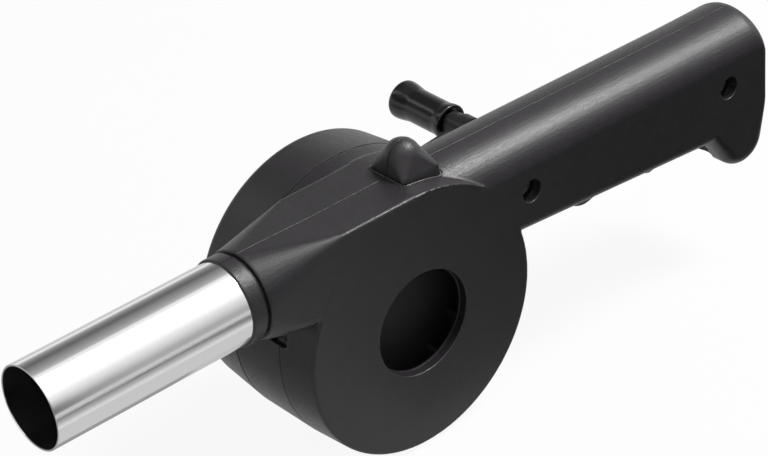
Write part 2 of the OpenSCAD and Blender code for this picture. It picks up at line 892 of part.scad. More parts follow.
// Shoulder screw that the knob turns on
module knob_pin() {
    color([0.55, 0.55, 0.57])
        translate([knob_x, 0, knob_z])
            difference() {
                union() {
                    rod(screw_r, neck_y + neck_len - pin_thread_len + end_gap, knob_y);
                    rod(pin_shoulder_r, neck_y + neck_len, pin_head_y + pin_head_h / 2);
                    rod(pin_head_r, pin_head_y, pin_head_y + pin_head_h);
                }
                block([-pin_head_r - over, pin_head_y + pin_head_h - slot_depth, -slot_w / 2],
                    [pin_head_r + over, pin_head_y + pin_head_h + over, slot_w / 2]);
            }
}

// Grip of the crank: waisted, with a rim at the neck and a flare at its outer end
module knob() {
    color([0.06, 0.06, 0.065])
        translate([knob_x, 0, knob_z])
            difference() {
                lathe()
                    polygon(concat(
                        [[0, knob_y], [knob_rim_r - edge_round / 2, knob_y],
                         [knob_rim_r, knob_y + edge_round / 2], [knob_rim_r, knob_y + edge_round],
                         [knob_waist_r, knob_y + 3 * edge_round],
                         [knob_waist_r, knob_end_y - knob_len / 3],
                         [(knob_waist_r + knob_flare_r) / 2, knob_end_y - knob_len / 6]],
                        arc(knob_flare_r - knob_round, knob_end_y - knob_round, knob_round, 0, 90, 6),
                        [[0, knob_end_y]]));
                rod(pin_shoulder_r + run_gap, knob_y - over, knob_end_y + over);
                rod(pin_head_r + end_gap, pin_head_y - end_gap, knob_end_y + over);
            }
}

intake_shell();
gear_shell();
rear_cover();
nozzle_tube();
handle_screws();
body_screws();
cover_screws();
fan_bush();
crank_bush();
idler_axle();
impeller();
fan_shaft();
fan_pinion();
fan_washers();
idler_gear();
idler_washers();
crank_shaft();
crank_gear();
shaft_clip();
crank_arm();
crank_washer();
crank_screw();
knob_pin();
knob();
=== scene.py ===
import math

import bmesh
import bpy
from mathutils import Matrix, Vector


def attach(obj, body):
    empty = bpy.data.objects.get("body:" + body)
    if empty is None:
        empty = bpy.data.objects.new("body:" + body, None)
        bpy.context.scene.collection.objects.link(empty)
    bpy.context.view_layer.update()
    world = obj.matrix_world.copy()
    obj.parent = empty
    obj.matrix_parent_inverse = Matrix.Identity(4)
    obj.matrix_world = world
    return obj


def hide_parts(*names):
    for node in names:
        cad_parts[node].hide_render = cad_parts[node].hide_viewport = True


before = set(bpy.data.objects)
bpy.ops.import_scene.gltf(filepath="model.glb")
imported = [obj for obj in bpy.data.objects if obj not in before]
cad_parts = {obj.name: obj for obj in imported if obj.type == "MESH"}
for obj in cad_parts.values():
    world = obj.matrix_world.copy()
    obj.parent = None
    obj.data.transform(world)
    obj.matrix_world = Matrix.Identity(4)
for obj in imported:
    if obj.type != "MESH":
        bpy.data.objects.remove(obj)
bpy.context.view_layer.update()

# Camera
# A long lens on the left of the blower and above it, as a catalogue photographer stands. Its place, tilt and
# focal length were worked out from the drum's circle, the tube and the handle in the photograph.
MM = 0.001
CAMERA_AT = (-418.19, -495.94, 450.23)
CAMERA_TURN, CAMERA_DIP, CAMERA_ROLL = -39.317, 32.747, -4.421
LENS, SENSOR = 130.474, 36.0

camera = bpy.data.objects.new("camera", bpy.data.cameras.new("camera"))
bpy.context.scene.collection.objects.link(camera)
camera.data.lens, camera.data.sensor_width = LENS, SENSOR
camera.data.clip_start, camera.data.clip_end = 0.01, 20
camera.matrix_world = (
    Matrix.Translation(Vector(CAMERA_AT) * MM)
    @ Matrix.Rotation(math.radians(CAMERA_TURN), 4, "Z")
    @ Matrix.Rotation(math.radians(90 - CAMERA_DIP), 4, "X")
    @ Matrix.Rotation(math.radians(CAMERA_ROLL), 4, "Z")
)
bpy.context.scene.camera = camera
bpy.context.scene.view_settings.view_transform = "Standard"

# Studio
# A white table in a white room, with one softbox high over the handle's side. Grey and white cards stand where
# only gloss sees them, as a photographer sets them round polished steel to give it dark and light bands.
FLOOR_Z, FLOOR_SIZE = -42.0, 6000
PAPER_WHITE, PAPER_BOUNCE, CARD_WHITE = "#f8f8f8", "#9a9a9a", "#ffffff"
PAPER_SEEN, PAPER_GLOSS, ROOM_STRENGTH = 0.92, 0.6, 0.18
KEY_WAY, KEY_FAR, KEY_SIZE, KEY_WATTS, KEY_AIM = (0.533, -0.225, 0.816), 1200, 350, 12, (20, 10, 20)


def linear(code):
    """An sRGB hex colour as linear red, green, blue and alpha."""
    parts = [int(code[i:i + 2], 16) / 255 for i in (1, 3, 5)]
    return tuple(c / 12.92 if c <= 0.04045 else ((c + 0.055) / 1.055) ** 2.4 for c in parts) + (1.0,)


def node(tree, kind, links=None, **settings):
    """Adds a node: settings are its properties or input values, and links are what goes into its inputs."""
    made = tree.nodes.new("ShaderNode" + kind)
    for name, value in settings.items():
        if hasattr(made, name):
            setattr(made, name, value)
        else:
            made.inputs[name.replace("_", " ")].default_value = value
    for name, source in (links or {}).items():
        if isinstance(source, bpy.types.NodeSocket):
            tree.links.new(source, made.inputs[name])
        else:
            made.inputs[name].default_value = source
    return made


def material(name):
    """A new material with an empty node tree."""
    made = bpy.data.materials.new(name)
    made.use_nodes = True
    made.node_tree.nodes.clear()
    return made


def piece_from(name, points, faces):
    """A mesh object from points in millimetres, its faces turned outwards and shaded smooth."""
    mesh = bpy.data.meshes.new(name)
    mesh.from_pydata([Vector(p) * MM for p in points], [], faces)
    work = bmesh.new()
    work.from_mesh(mesh)
    bmesh.ops.recalc_face_normals(work, faces=work.faces)
    work.to_mesh(mesh)
    work.free()
    mesh.shade_smooth()
    made = bpy.data.objects.new(name, mesh)
    bpy.context.scene.collection.objects.link(made)
    return made


def studio_paper():
    """Matt white background paper: near white to the lens and to mirrors, and it keeps the blower's shadow."""
    made = material("matt white background paper")
    tree = made.node_tree
    path = node(tree, "LightPath")
    mirror = node(tree, "Math", {0: path.outputs["Is Glossy Ray"], 1: path.outputs["Is Transmission Ray"]},
                  operation="MAXIMUM")
    gloss = node(tree, "Math", {0: mirror.outputs[0], 1: PAPER_GLOSS}, operation="MULTIPLY")
    seen = node(tree, "Math", {0: path.outputs["Is Camera Ray"], 1: PAPER_SEEN}, operation="MULTIPLY")
    share = node(tree, "Math", {0: gloss.outputs[0], 1: seen.outputs[0]}, operation="MAXIMUM")
    tone = node(tree, "MixRGB", {0: path.outputs["Is Camera Ray"]}, Color1=linear(PAPER_BOUNCE),
                Color2=linear(PAPER_WHITE))
    paper = node(tree, "BsdfDiffuse", {0: tone.outputs[0]})
    white = node(tree, "Emission", Color=linear(CARD_WHITE), Strength=1.0)
    mix = node(tree, "MixShader", {0: share.outputs[0], 1: paper.outputs[0], 2: white.outputs[0]})
    node(tree, "OutputMaterial", {"Surface": mix.outputs[0]})
    return made


half = FLOOR_SIZE / 2
floor = piece_from("floor", [(-half, -half, FLOOR_Z), (half, -half, FLOOR_Z), (half, half, FLOOR_Z),
                             (-half, half, FLOOR_Z)], [(0, 1, 2, 3)])
floor.data.materials.append(studio_paper())

world = bpy.data.worlds.new("white room")
bpy.context.scene.world = world
world.use_nodes = True
tree = world.node_tree
tree.nodes.clear()
path = node(tree, "LightPath")
mirror = node(tree, "Math", {0: path.outputs["Is Glossy Ray"], 1: path.outputs["Is Transmission Ray"]},
              operation="MAXIMUM")
seen = node(tree, "Math", {0: path.outputs["Is Camera Ray"], 1: mirror.outputs[0]}, operation="MAXIMUM")
level = node(tree, "MapRange", {"Value": seen.outputs[0], "To Min": ROOM_STRENGTH, "To Max": 1.0})
room = node(tree, "Background", {"Strength": level.outputs[0]}, Color=linear(CARD_WHITE))
node(tree, "OutputWorld", {"Surface": room.outputs[0]})

key = bpy.data.objects.new("key_softbox", bpy.data.lights.new("key_softbox", "AREA"))
bpy.context.scene.collection.objects.link(key)
key.data.size, key.data.energy = KEY_SIZE * MM, KEY_WATTS
key_at = Vector(KEY_WAY).normalized() * KEY_FAR
key.matrix_world = (Matrix.Translation(key_at * MM)
                    @ (Vector(KEY_AIM) - key_at).to_track_quat("-Z", "Y").to_matrix().to_4x4())


def card(name, corners, stops, axis="Z"):
    """A glowing card that only gloss sees, shaded along one axis by (place from 0 to 1, brightness) stops: light that
    shows only in reflections, as bands in the steel and highlights on the plastic.
    """
    made = piece_from(name + "_card", corners, [(0, 1, 2, 3)])
    paint = material(name + " glowing gloss card")
    tree = paint.node_tree
    place = node(tree, "SeparateXYZ", {0: node(tree, "TexCoord").outputs["Generated"]})
    ramp = node(tree, "ValToRGB", {0: place.outputs[axis]})
    while len(ramp.color_ramp.elements) < len(stops):
        ramp.color_ramp.elements.new(0.5)
    for element, (at, level) in zip(ramp.color_ramp.elements, stops):
        element.position = at
        element.color = (level, level, level, 1)
    glow = node(tree, "Emission", {"Strength": ramp.outputs[0]}, Color=linear(CARD_WHITE))
    node(tree, "OutputMaterial", {"Surface": glow.outputs[0]})
    made.data.materials.append(paint)
    made.visible_camera = made.visible_diffuse = made.visible_shadow = made.visible_transmission = False


card("back", [(-2500, 1245, 255), (2500, 1245, 255), (2500, 314, 1260), (-2500, 314, 1260)],
     [(0.0, 0.85), (0.1, 0.45), (0.29, 0.23), (0.455, 0.14), (0.62, 0.26), (0.8, 0.37), (1.0, 0.55)])
card("back_right", [(655, 1243, 254), (2500, 1243, 254), (2500, 312, 1259), (655, 312, 1259)],
     [(0.0, 0.65), (0.1, 0.55), (0.29, 0.45), (0.455, 0.38), (0.62, 0.46), (0.8, 0.55), (1.0, 0.65)])
card("back_left", [(-600, 1009, 503), (-320, 1009, 503), (-320, 544, 1006), (-600, 544, 1006)],
     [(0.0, 1.6), (1.0, 1.6)])
card("overhead", [(-600, -1074, 708), (2400, -1074, 708), (2400, 51, 1299), (-600, 51, 1299)],
     [(0.0, 0.95), (0.5, 1.6), (1.0, 3.0)], "Y")
card("front_wall", [(380, -1073, -41), (690, -1073, -41), (690, -1073, 708), (380, -1073, 708)],
     [(0.0, 0.5), (0.27, 0.5), (0.6, 0.78), (1.0, 1.0)])
card("front_dark", [(-1500, -1075, -41), (3000, -1075, -41), (3000, -1075, 708), (-1500, -1075, 708)],
     [(0.0, 0.1), (0.4, 0.12), (1.0, 0.5)])
card("front_low", [(-400, -190, -41.5), (60, -190, -41.5), (60, -190, -24), (-400, -190, -37)],
     [(0.0, 0.12), (0.5, 0.2), (1.0, 0.25)])
card("front_strip", [(-400, -189, -33), (60, -189, -19), (60, -189, -13), (-400, -189, -30)],
     [(0.0, 0.22), (1.0, 0.22)])
card("front_right", [(150, -190, -41.5), (600, -190, -41.5), (600, -190, 60), (150, -190, 60)],
     [(0.0, 0.12), (0.6, 0.14), (1.0, 0.3)])
card("table_front", [(-400, -188, -41.6), (20, -188, -41.6), (20, -96, -41.6), (-400, -96, -41.6)],
     [(0.0, 0.42), (0.55, 0.45), (1.0, 0.75)], "Y")
card("table_near", [(-400, -95.9, -41.6), (60, -95.9, -41.6), (60, -72, -41.6), (-400, -72, -41.6)],
     [(0.0, 0.8), (1.0, 0.9)], "Y")
card("table_behind", [(-330, 12, -41.6), (-44, 12, -41.6), (-44, 220, -41.6), (-330, 220, -41.6)],
     [(0.0, 0.36), (1.0, 0.36)])
card("table_right", [(5, -190, -41.7), (600, -190, -41.7), (600, -10, -41.7), (5, -10, -41.7)],
     [(0.0, 0.42), (0.06, 0.28), (0.14, 0.16), (0.24, 0.06), (1.0, 0.06)], "X")

# Housing, both halves
# The drum, duct and handle are two black mouldings in ABS that meet at a seam through the handle, the thumb
# rest and the duct. Here they are one soft-edged form first, which the seam then parts. Two small swells stand
# under the handle, and a groove for a finger crosses the front of the hook.
SEAM_Y, COVER_Y, BAR_W = 13.7, 33.8, 27.4
DRUM_R, NEAR_R, NEAR_EDGE = 42.0, 41.2, 0.5
DUCT_FRONT_X, DUCT_R, TUBE_Z = -52.8, 13.4, 29.7
THROAT_X, THROAT_Z, BAR_TOP = -26.0, 19.4, 42.4
DUCT_STEPS, DUCT_HIGH_CORNER, DUCT_LOW_CORNER, LOW_CORNER_RUSH = 14, 1.0, 0.9, 2.6
GRIP_START_X, BUTT_X, BUTT_END_X = 8.65, 121.5, 144.6
GRIP_TOP, GRIP_LOW, ROOT_LOW, CROWN, GRIP_ROUND = 40.0, 3.9, 13.9, 11.0, 4.0
BUTT_EASE, BUTT_DROP, ROOT_H = ((3.5, 0.0), (1.6, 0.5), (0.5, 1.7), (0.0, 3.2)), 1.9, 24
HOOK_AT, HOOK_R = (135.0, 0.1), 9.2
GROOVE_X, GROOVE_R, GROOVE_TOP = 125.8, 6.2, 3.35
NOTCH = ((-45.0, 11.2, 6.9), (-39.2, 18.0, 13.0))
SWELLS, SWELL_EDGE = ((67.0, 8.0, 0.9), (94.5, 3.5, 0.35)), ((0.5, 2.0), (0.15, 2.15), (0.0, 2.5))
PAD_LOW, PAD_HIGH, PAD_OUT = 7.6, 31.1, 0.5
HUMP_X, HUMP_LEN, HUMP_W, HUMP_TOP, HUMP_R, HUMP_LEAN = 1.4, 14.5, 15.4, 52.0, 5.6, 0.9
HUMP_SINK, HUMP_STEPS, HUMP_CORNER, DOME_R, DOME_FOOT = 5.0, 8, 1.2, HUMP_R * 0.9, HUMP_R * 0.43
BEAD_R, BEAD_OUT, BEAD_CORNER = 0.34, 0.15, 1.4
SEAM_GAP, SEAM_EASE = 0.18, 0.14
VOXEL, SOFTEN = 0.42, 3


def loft(name, rings, closed=False):
    """A form through rings of as many points each, capped at both ends or closed on itself."""
    count, total = len(rings[0]), len(rings)
    faces = []
    for k in range(total if closed else total - 1):
        low, high = k * count, (k + 1) % total * count
        faces += [(low + i, low + (i + 1) % count, high + (i + 1) % count, high + i) for i in range(count)]
    if not closed:
        faces += [list(range(count)), [(total - 1) * count + i for i in range(count)]]
    return piece_from(name, [p for ring in rings for p in ring], faces)


def circle(r, steps):
    """Points round a circle."""
    return [(r * math.cos(2 * math.pi * i / steps), r * math.sin(2 * math.pi * i / steps)) for i in range(steps)]


def turned(name, profile, at=(0, 0), steps=160, closed=False):
    """A form turned about an axis along Y at (x, z), from (radius, y) points."""
    return loft(name, [[(at[0] + u, y, at[1] + v) for u, v in circle(r, steps)] for r, y in profile], closed)


def rod(name, r, start, end, at=(0, 0), steps=64):
    """A plain round along Y, for cutting or for a post."""
    return turned(name, [(r, start), (r, end)], at, steps)


def along_x(name, profile, steps=128, closed=True):
    """A form turned about the nozzle's axis, from (radius, x) points."""
    return loft(name, [[(x, SEAM_Y + u, TUBE_Z + v) for u, v in circle(r, steps)] for r, x in profile], closed)


def bend(centre, radius, start, end, steps=6):
    """Points of an arc for an outline, from one angle to another in degrees."""
    angles = (math.radians(start + (end - start) * i / steps) for i in range(steps + 1))
    return [(centre[0] + radius * math.cos(a), centre[1] + radius * math.sin(a)) for a in angles]


def rounded(a, b, high, low=None, steps=10):
    """Points round a rectangle with half sizes a and b, and radii of its upper and lower corners."""
    low = high if low is None else low
    return (bend((a - high, b - high), high, 0, 90, steps) + bend((high - a, b - high), high, 90, 180, steps)
            + bend((low - a, low - b), low, 180, 270, steps) + bend((a - low, low - b), low, 270, 360, steps))


def settle(piece):
    """Applies a piece's modifiers to its mesh."""
    graph = bpy.context.evaluated_depsgraph_get()
    mesh = bpy.data.meshes.new_from_object(piece.evaluated_get(graph))
    piece.modifiers.clear()
    piece.data = mesh
    return piece


def carve(piece, *tools, how="DIFFERENCE"):
    """Cuts tools from a piece, joins them to it or keeps what they share."""
    for tool in tools:
        mod = piece.modifiers.new("carve", "BOOLEAN")
        mod.operation, mod.object, mod.solver = how, tool, "MANIFOLD"
        settle(piece)
        bpy.data.objects.remove(tool)
    return piece


def block(name, low, high):
    """A box between two corners, for cutting."""
    x, y, z = zip(low, high)
    return loft(name, [[(x[0], end, z[0]), (x[1], end, z[0]), (x[1], end, z[1]), (x[0], end, z[1])] for end in y])


def grip_ring(x, low, top, inset=0.0, steps=28):
    """The handle's cross-section: rounded top, flat sides and eased lower edges."""
    half_w, ease, rise = SEAM_Y - inset, max(GRIP_ROUND - inset, 0.8), CROWN - inset / 2
    outline = (bend((-half_w + ease, low + ease), ease, 270, 180, 6)
               + [(-half_w * math.cos(math.pi * i / steps), top - rise + rise * math.sin(math.pi * i / steps))
                  for i in range(1, steps)]
               + bend((half_w - ease, low + ease), ease, 0, -90, 6))
    return [(x, SEAM_Y + u, v) for u, v in outline]


def grip_low(x):
    """Height of the handle's underside at a distance along it."""
    return ROOT_LOW + x / BUTT_X * (GRIP_LOW - ROOT_LOW)


def grip_top(x):
    """Height of the handle's top at a distance along it."""
    return BAR_TOP + x / BUTT_X * (GRIP_TOP - BAR_TOP)


def duct_rings(inset=0.0, end_x=0.0):
    """Rings of the duct: round at its front, with upper corners that narrow evenly and lower ones that soon do."""
    middle, half_h = (THROAT_Z + BAR_TOP) / 2, (BAR_TOP - THROAT_Z) / 2
    rings = []
    for k in range(DUCT_STEPS + 1):
        t = k / DUCT_STEPS
        a = (1 - t) * DUCT_R + t * SEAM_Y - inset
        b = (1 - t) * DUCT_R + t * half_h - inset
        high = (1 - t) * (DUCT_R - inset) + t * DUCT_HIGH_CORNER
        round_share = (1 - t) ** LOW_CORNER_RUSH
        low = round_share * (DUCT_R - inset) + (1 - round_share) * DUCT_LOW_CORNER
        z = (1 - t) * TUBE_Z + t * middle
        x = DUCT_FRONT_X + t * (THROAT_X - DUCT_FRONT_X)
        rings.append([(x, SEAM_Y + u, z + v) for u, v in rounded(a, b, min(high, a, b), min(low, a, b))])
    rings.append([(end_x, y, z) for _, y, z in rings[-1]])
    return rings


def hull(name, points):
    """The convex form round a set of points."""
    made = piece_from(name, points, [])
    work = bmesh.new()
    work.from_mesh(made.data)
    found = bmesh.ops.convex_hull(work, input=work.verts)
    bmesh.ops.delete(work, geom=found["geom_interior"], context="VERTS")
    bmesh.ops.recalc_face_normals(work, faces=work.faces)
    work.to_mesh(made.data)
    work.free()
    return made


def butt_points():
    """Points of the butt above its hook: the handle's last section and a flat end with an eased edge."""
    points, end_x = grip_ring(BUTT_X, GRIP_LOW, GRIP_TOP), BUTT_END_X - PAD_OUT
    for back, shrink in BUTT_EASE:
        points += grip_ring(end_x - back, PAD_LOW if shrink else GRIP_LOW - BUTT_DROP, GRIP_TOP - shrink)
    return points


def hook_points():
    """Points of the hook: a thick disc with a rounded rim, drawn up into the butt."""
    points = grip_ring(BUTT_X, GRIP_LOW, GRIP_LOW + ROOT_H)
    points += grip_ring(BUTT_END_X - PAD_OUT, PAD_LOW, PAD_LOW + ROOT_H)
    for y_mid, sign in ((GRIP_ROUND, -1), (BAR_W - GRIP_ROUND, 1)):
        for u, v in bend((HOOK_R - GRIP_ROUND, 0), GRIP_ROUND, 0, 90, 6):
            points += [(HOOK_AT[0] + p, y_mid + sign * v, HOOK_AT[1] + q) for p, q in circle(u, 64)]
    return points


def upright(name, r, x, low, high, steps=96):
    """A plain round along Z in the seam's plane, for cutting."""
    return loft(name, [[(x + u, SEAM_Y + v, z) for u, v in circle(r, steps)] for z in (low, high)])


def hump_rings():
    """Rings of the thumb rest, from a foot sunk in the handle to its round top."""
    mid_x, foot_z, ball_z = HUMP_X + HUMP_LEN / 2, BAR_TOP - HUMP_SINK, HUMP_TOP - HUMP_R
    rings = []
    for k in range(HUMP_STEPS + 1):
        t = k / HUMP_STEPS
        a = (1 - t) * HUMP_LEN / 2 + t * DOME_R
        b = (1 - t) * HUMP_W / 2 + t * DOME_R
        corner = (1 - t) * HUMP_CORNER + t * DOME_R
        z = foot_z if k == 0 else BAR_TOP + (ball_z + DOME_FOOT - BAR_TOP) * t
        outline = rounded(a, b, min(corner, a, b), steps=6)
        rings.append([(mid_x - HUMP_LEAN * t + u, SEAM_Y + v, z) for u, v in outline])
    for angle in (38, 52, 66, 80):
        r, h = HUMP_R * math.cos(math.radians(angle)), HUMP_R * math.sin(math.radians(angle))
        rings.append([(mid_x - HUMP_LEAN + u, SEAM_Y + v, ball_z + h) for u, v in rounded(r, r, r, steps=6)])
    return rings


def foot_bead():
    """The fine raised line round the foot of the thumb rest, which follows the top of the bar and the handle."""
    mid_x, rings = HUMP_X + HUMP_LEN / 2, []
    outline = rounded(HUMP_LEN / 2 + BEAD_OUT, HUMP_W / 2 + BEAD_OUT, BEAD_CORNER, steps=6)
    fine = []
    for k, (u, v) in enumerate(outline):
        nu, nv = outline[(k + 1) % len(outline)]
        parts = max(1, round(math.hypot(nu - u, nv - v)))
        fine += [(u + (nu - u) * i / parts, v + (nv - v) * i / parts) for i in range(parts)]
    for k, (u, v) in enumerate(fine):
        before, after = fine[k - 1], fine[(k + 1) % len(fine)]
        way = Vector((after[1] - before[1], before[0] - after[0])).normalized()
        x, side = mid_x + u, min(1.0, abs(v) / SEAM_Y)
        z = BAR_TOP if x <= 0 else math.sqrt(BAR_TOP ** 2 - x ** 2)
        if x > GRIP_START_X:
            z = max(z, grip_top(x) - CROWN + CROWN * math.sqrt(1 - side ** 2))
        rings.append([(x + p * way.x, SEAM_Y + v + p * way.y, z + q) for p, q in circle(BEAD_R, 10)])
    return loft("foot_bead", rings, closed=True)


def housing_form():
    """The whole outer form of both halves in one soft-edged mesh."""
    drum = turned("drum", [(NEAR_R - NEAR_EDGE, 0), (NEAR_R - 0.3 * NEAR_EDGE, 0.3 * NEAR_EDGE), (NEAR_R, NEAR_EDGE),
                           (DRUM_R, SEAM_Y), (DRUM_R, COVER_Y)], steps=240)
    grip = loft("grip", [grip_ring(x, grip_low(x), grip_top(x)) for x in (GRIP_START_X, BUTT_X)])
    outline = [(0, ROOT_LOW)] + bend((0, 0), BAR_TOP, math.degrees(math.asin(ROOT_LOW / BAR_TOP)), 90, 60)
    bar = loft("bar", [[(x, y, z) for x, z in outline] for y in (0, BAR_W)])
    hook = carve(hull("hook", hook_points()), upright("groove", GROOVE_R, GROOVE_X, -12, GROOVE_TOP))
    parts = [loft("duct", duct_rings(end_x=0.5)), bar, grip, hull("butt", butt_points()), hook]
    for x, r, out in SWELLS:
        ends = [(r - less, y) for less, y in SWELL_EDGE]
        profile = ends + [(r, BAR_W - y) for r, y in reversed(ends)]
        parts.append(turned("swell", profile, (x, grip_low(x) + r - out), 64))
    for part in parts:
        carve(drum, part, how="UNION")
    carve(drum, block("notch", *NOTCH))
    mod = drum.modifiers.new("skin", "REMESH")
    mod.mode, mod.voxel_size = "VOXEL", VOXEL * MM
    settle(drum)
    mod = drum.modifiers.new("soften", "SMOOTH")
    mod.factor, mod.iterations = 0.5, SOFTEN
    settle(drum)
    pad_mid, pad_half = (PAD_LOW + PAD_HIGH) / 2, (PAD_HIGH - PAD_LOW) / 2
    pad = loft("pad", [[(x, SEAM_Y + u, pad_mid + v) for u, v in rounded(SEAM_Y - GRIP_ROUND - e, pad_half - e, 1.5)]
                       for x, e in ((BUTT_END_X - 2.2, 0.0), (BUTT_END_X - 0.2, 0.0), (BUTT_END_X, 0.2))])
    return carve(drum, loft("hump", hump_rings()), foot_bead(), pad, how="UNION")


def half_of(form, name, way):
    """One half of the form: the near one for way -1, the far one for way 1, with its edge eased at the seam."""
    made = bpy.data.objects.new(name, form.data.copy())
    bpy.context.scene.collection.objects.link(made)
    work = bmesh.new()
    work.from_mesh(made.data)
    line = SEAM_Y + way * SEAM_GAP / 2
    for y in (line + way * SEAM_EASE, line):
        geometry = work.verts[:] + work.edges[:] + work.faces[:]
        bmesh.ops.bisect_plane(work, geom=geometry, plane_co=(0, y * MM, 0), plane_no=(0, way, 0),
                               clear_inner=y == line)
    rim = [v for v in work.verts if abs(v.co.y - line * MM) < 1e-7]
    work.normal_update()
    inward = {v: Vector((v.normal.x, 0, v.normal.z)).normalized() for v in rim}
    for v, out in inward.items():
        v.co -= out * SEAM_EASE * MM
    bmesh.ops.holes_fill(work, edges=[e for e in work.edges if e.is_boundary])
    bmesh.ops.triangulate(work, faces=[f for f in work.faces if len(f.verts) > 4])
    bmesh.ops.recalc_face_normals(work, faces=work.faces)
    work.to_mesh(made.data)
    work.free()
    return made


GRAIN, MOTTLE, GLOSS_SPREAD, TONE_SPREAD = 0.6, 6.0, 0.22, 0.12


def moulded(name, shade, gloss, rough, relief):
    """A moulded plastic: a fine grain from the tool breaks its sheen up, and its shade changes in soft patches."""
    made = material(name)
    tree = made.node_tree
    place = node(tree, "TexCoord").outputs["Object"]
    grain = node(tree, "TexNoise", {"Vector": place}, Scale=1 / (GRAIN * MM), Detail=3.0, Roughness=0.7)
    mottle = node(tree, "TexNoise", {"Vector": place}, Scale=1 / (MOTTLE * MM), Detail=5.0, Roughness=0.65)
    sheen = node(tree, "MapRange", {"Value": grain.outputs[0], "From Min": 0.35, "From Max": 0.65,
                                    "To Min": rough * (1 - GLOSS_SPREAD), "To Max": rough * (1 + GLOSS_SPREAD)})
    tone = node(tree, "MapRange", {"Value": mottle.outputs[0], "From Min": 0.3, "From Max": 0.7})
    dark, pale = [tuple(c * k for c in linear(shade)[:3]) + (1,) for k in (1 - TONE_SPREAD, 1 + TONE_SPREAD)]
    paint = node(tree, "MixRGB", {0: tone.outputs[0]}, Color1=dark, Color2=pale)
    bump = node(tree, "Bump", {"Height": grain.outputs[0]}, Strength=1.0, Distance=relief * MM)
    skin = node(tree, "BsdfPrincipled", {"Base Color": paint.outputs[0], "Roughness": sheen.outputs[0],
                                         "Normal": bump.outputs[0]}, Specular_IOR_Level=gloss)
    node(tree, "OutputMaterial", {"Surface": skin.outputs[0]})
    return made


# Black ABS from a spark-eroded tool: satin, with a hint of purple and a dusty sparkle where light grazes it.
# The grain of such a tool is about 0.1 mm, and is drawn at 0.6 mm so that it shows.
housing_plastic = moulded("black spark-eroded ABS", "#2b282b", 0.45, 0.36, 0.09)


def dress(piece, body, finish):
    """Gives a new piece its material and its body."""
    piece.data.materials.clear()
    piece.data.materials.append(finish)
    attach(piece, body)


def finish_nodes(finish, *names):
    """Gives carried-over CAD pieces a material."""
    for name in names:
        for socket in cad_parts[name].material_slots:
            socket.material = finish


def sharp(piece, angle=32):
    """Smooth shading that breaks at edges sharper than an angle and keeps large faces flat."""
    piece.data.shade_smooth()
    piece.data.set_sharp_from_angle(angle=math.radians(angle))
    mod = piece.modifiers.new("flat_faces", "WEIGHTED_NORMAL")
    mod.keep_sharp = True


form = housing_form()
near, far = half_of(form, "intake_half", -1), half_of(form, "gear_half", 1)
bpy.data.objects.remove(form)

# Near half with the air inlet
# A shell 2.2 mm thick with a turned-in rim round the inlet, posts for the screws and a deep well for each of
# the two long screws in the handle.
WALL, CAVITY_R, CHAMBER_Y = 2.2, 39.0, 26.4
INLET_R, RIM_DEPTH, RIM_STEP, RIM_STEP_Y, MOUTH_EASE, STEP_EASE = 16.2, 3.4, 0.35, 2.7, 0.5, 0.1
SCREWS_AT = ((44.0, 23.8), (127.4, 21.8))
WELL_R, WELL_DEPTH, SCREW_HOLE_R, SCREW_WAY_R = 3.6, 6.0, 1.48, 1.7
BODY_SCREW_DIRS, BODY_SCREW_AT, POST_R = (45, 200, 310), 35.72, 3.3
HELD_R, TUBE_END_X, COLLAR_R, COLLAR_LEN = 12.2, -40.5, 13.1, 5.7
GROOVE, GROOVE_DEPTH, COLLAR_EASE, LIP_EASE = 1.1, 0.8, 0.3, 0.4
POST_START, WELL_FLOOR, WELL_EASE, POST_PILOT_Y = 1.2, 4.0, 0.35, 4.4


def collar():
    """The collar that grips the tube, with the groove that parts it from the duct."""
    front, root, bore = DUCT_FRONT_X - COLLAR_LEN, DUCT_FRONT_X, HELD_R + 0.02
    neck_r = COLLAR_R - GROOVE_DEPTH
    neck = [(bore, front), (bore, root + 2), (neck_r, root + 2), (neck_r, root - GROOVE)]
    edge = [(r, x) for x, r in bend((root - GROOVE - COLLAR_EASE, COLLAR_R - COLLAR_EASE), COLLAR_EASE, 0, 90, 3)]
    lip = [(r, x) for x, r in bend((front + LIP_EASE, COLLAR_R - LIP_EASE), LIP_EASE, 90, 180, 4)]
    return along_x("collar", neck + edge + lip)


def hollows(y_low):
    """What is cut out of a half: fan chamber, duct, tube seat and the handle's hollow."""
    start, end = 47.5, BUTT_X - 3
    rings = [grip_ring(x, grip_low(x) + WALL, grip_top(x) - WALL, WALL) for x in (start, end)]
    return [rod("chamber", CAVITY_R, max(y_low, WALL), CHAMBER_Y, steps=160),
            loft("duct_hollow", duct_rings(inset=WALL, end_x=2.0)[2:]),
            along_x("tube_seat", [(HELD_R + 0.02, DUCT_FRONT_X - 20), (HELD_R + 0.02, TUBE_END_X)], 96, False),
            along_x("tube_way", [(HELD_R - 0.6, TUBE_END_X - 1), (HELD_R - 0.6, -30.0)], 96, False),
            loft("grip_hollow", rings)]


def around(angle, distance):
    """A place in X and Z at an angle and a distance from the fan's axis."""
    return (distance * math.cos(math.radians(angle)), distance * math.sin(math.radians(angle)))


def well(at, y_face, depth, r):
    """A screw's well with an eased lip; depth is signed into the part."""
    way = 1 if depth > 0 else -1
    angles = [math.radians(a) for a in (0, 30, 60, 90)]
    lip = [(r + WELL_EASE * (1 - math.sin(a)), y_face + way * WELL_EASE * (1 - math.cos(a))) for a in angles]
    return turned("well", [(r + WELL_EASE, y_face - way * 2)] + lip + [(r, y_face + depth)], at, 64)


